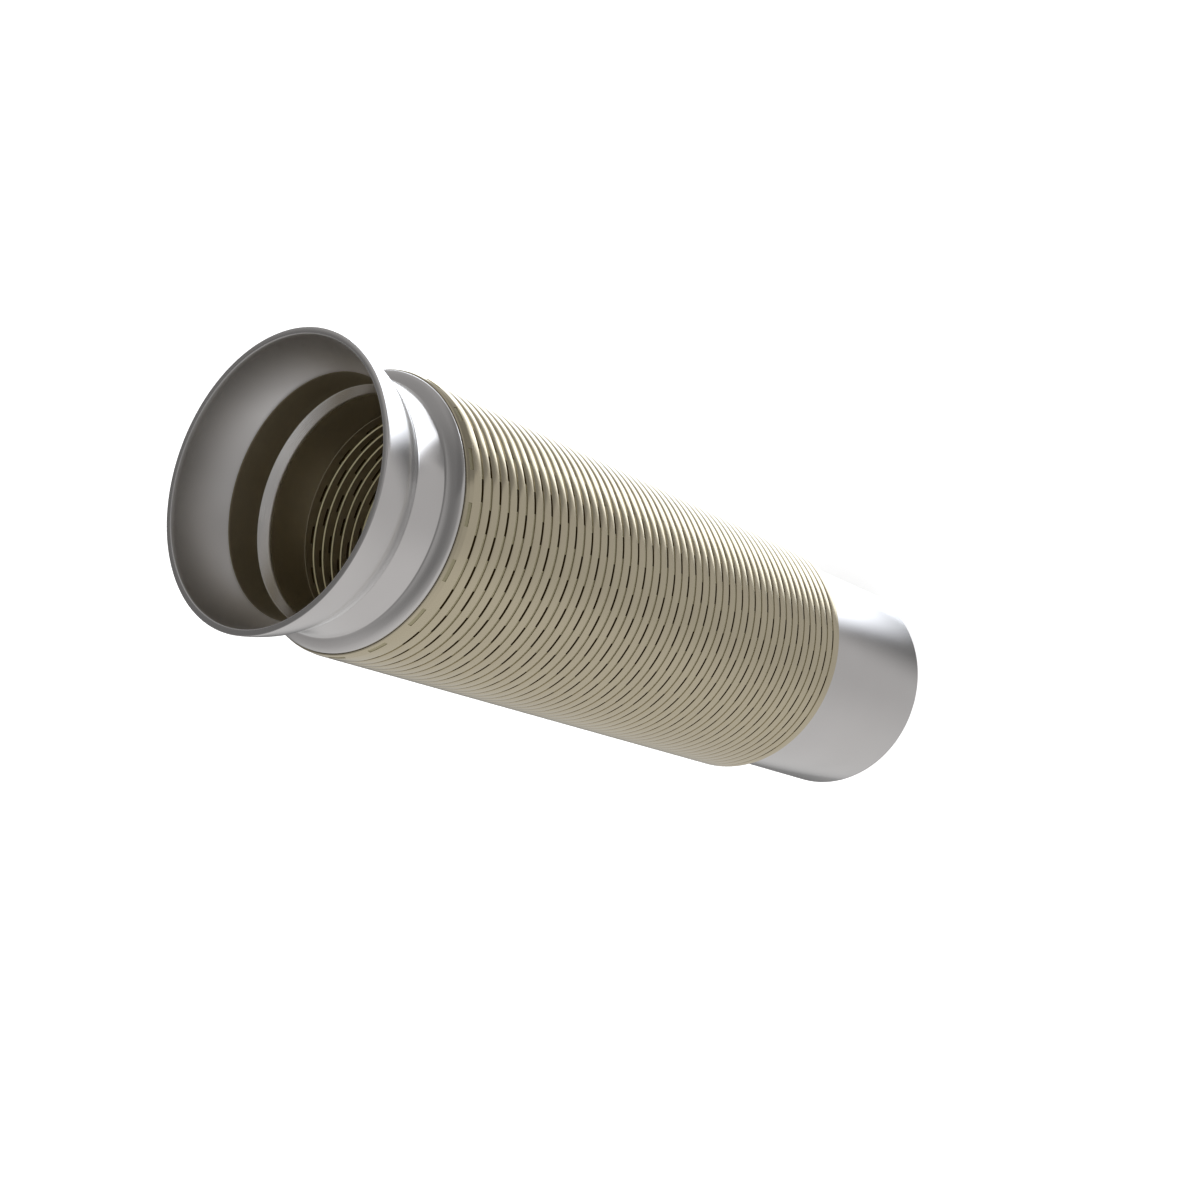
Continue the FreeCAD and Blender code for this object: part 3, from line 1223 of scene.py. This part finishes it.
@dataclass(kw_only=True)
class OuterHose(WoundHose):
    """The outer hose, whose upper end is tapered and marked where its last turn meets the collar."""

    name: str = "outer_winding"
    node: str = "outer_hose"
    shown: Wall = Wall.OUTSIDE
    radius: float = 66.6
    bottom: float = 100.0
    top: float = 403.602
    first_lap: float = 103.73
    laps: int = 50
    lap: tuple[tuple[float, float], ...] = (
        (-0.2, 0.0),
        (0.0, 0.12),
        (0.04, 0.6),
        (1.35, 0.6),
        (1.45, 0.28),
        (2.3, 0.0),
    )
    top_end: tuple[tuple[float, float], ...] = (
        (399.5, 0.0),
        (400.0, 0.137),
        (401.7, 0.604),
        (402.05, 0.7),
        (402.15, 0.25),
        (403.45, 0.7),
        (403.602, 1.0),
    )
    bottom_end: tuple[tuple[float, float], ...] = ((100.0, 0.3), (100.3, 0.0))
    back: tuple[tuple[float, float], ...] = (
        (65.6, 403.602),
        (65.35, 403.602),
        (65.35, 399.02),
        (63.4, 399.02),
        (63.4, 103.05),
        (65.35, 103.05),
        (65.35, 100.0),
        (66.3, 100.0),
    )
    window_row: tuple[float, float] = (0.05, 1.34)
    window_depth: float = 0.45
    window_start: float = 0.04
    seam: float = 91.0
    floor_row: tuple[float, float] = (0.03, 1.37)
    mark_row: tuple[float, float] = (400.02, 401.68)


@dataclass(kw_only=True)
class InnerHose(WoundHose):
    """The inner hose, whose laps show in the bore."""

    name: str = "inner_winding"
    node: str = "inner_hose"
    shown: Wall = Wall.BORE
    radius: float = 53.3
    bottom: float = 88.0
    top: float = 384.109
    first_lap: float = 93.5
    laps: int = 49
    lap: tuple[tuple[float, float], ...] = ((0.0, 0.0), (0.05, 0.5), (2.1, 0.5), (2.5, 0.0))
    top_end: tuple[tuple[float, float], ...] = ((383.9, 0.0), (384.109, 0.2))
    bottom_end: tuple[tuple[float, float], ...] = ((88.0, 0.2), (88.2, 0.0))
    back: tuple[tuple[float, float], ...] = ((53.5, 384.109), (56.6, 384.109), (56.6, 88.0), (53.5, 88.0))
    window_row: tuple[float, float] = (0.06, 2.09)
    window_depth: float = 0.9
    window_start: float = 0.876
    seam: float = 165.0
    # The trim row is the lap edge that faces the inlet, painted bright as a highlight.
    trim_row: tuple[float, float] = (2.11, 2.49)


@dataclass
class OutletEnd:
    """Plain outlet sleeve and the ring on its end."""

    steel: bpy.types.Material
    bore: float = 57.0
    sleeve: float = 60.0
    sleeve_length: float = 100.0
    ring: float = 65.3
    ring_top: float = 103.0
    edge: float = 0.4

    def tube(
        self, name: str, outside: float, ends: tuple[float, float], soft: list[tuple[float, float]]
    ) -> bpy.types.Object:
        """Make a plain tube with some of its corners rounded.

        Args:
            name: The piece's name.
            outside: Outer radius.
            ends: Heights of the lower and the upper end.
            soft: The corners to round.

        Returns:
            The piece.
        """
        bottom, top = ends
        section = Section(self.bore, bottom)
        section.line(outside, bottom).line(outside, top).line(self.bore, top).close()
        section.rounded(self.edge, soft)
        return finish_mesh(section.solid(), name, [self.steel])

    def build(self) -> None:
        """Build and place both pieces."""
        sleeve_foot = [(self.bore, 0.0), (self.sleeve, 0.0)]
        sleeve = self.tube("outlet_tube", self.sleeve, (0.0, self.sleeve_length), sleeve_foot)
        place_piece(sleeve, "outlet_sleeve")
        ring_foot = [(self.ring, self.sleeve_length)]
        ring = self.tube("end_ring", self.ring, (self.sleeve_length, self.ring_top), ring_foot)
        place_piece(ring, "outlet_ring")


def main() -> None:
    """Build the camera, the studio and each sub-assembly in order."""
    logging.basicConfig(level=logging.INFO, format="%(name)s: %(message)s")
    rig = CameraRig()
    rig.build()
    Studio().build(rig)
    effects = Effects()
    groups = (effects.turned_lines(), effects.soft_patches())
    fitting_steel = FITTING_STEEL.build(*groups)
    bright_painted_cup_steel = BRIGHT_PAINTED_CUP_STEEL.build(*groups)
    bright_painted_lip_steel = BRIGHT_PAINTED_LIP_STEEL.build(*groups)
    bore_steel = BORE_STEEL.build(*groups)
    hose_steel = HOSE_STEEL.build(*groups)
    lap_floor_painted_shade = LAP_FLOOR_PAINTED_SHADE.build(*groups)
    window_painted_shade = WINDOW_PAINTED_SHADE.build(*groups)
    lap_edge_painted_highlight = LAP_EDGE_PAINTED_HIGHLIGHT.build(*groups)
    InletFitting(fitting_steel, bright_painted_cup_steel, bright_painted_lip_steel, bore_steel).build()
    # The outer hose's floors and windows carry painted shade.
    OuterHose(
        steel=hose_steel, floor_steel=lap_floor_painted_shade, shade_paint_for_windows=window_painted_shade, trim_steel=hose_steel
    ).build()
    # The inner hose's windows carry painted shade and its lap edges a painted highlight.
    InnerHose(
        steel=bore_steel, floor_steel=bore_steel, shade_paint_for_windows=window_painted_shade, trim_steel=lap_edge_painted_highlight
    ).build()
    OutletEnd(fitting_steel).build()


if __name__ == "__main__":
    main()
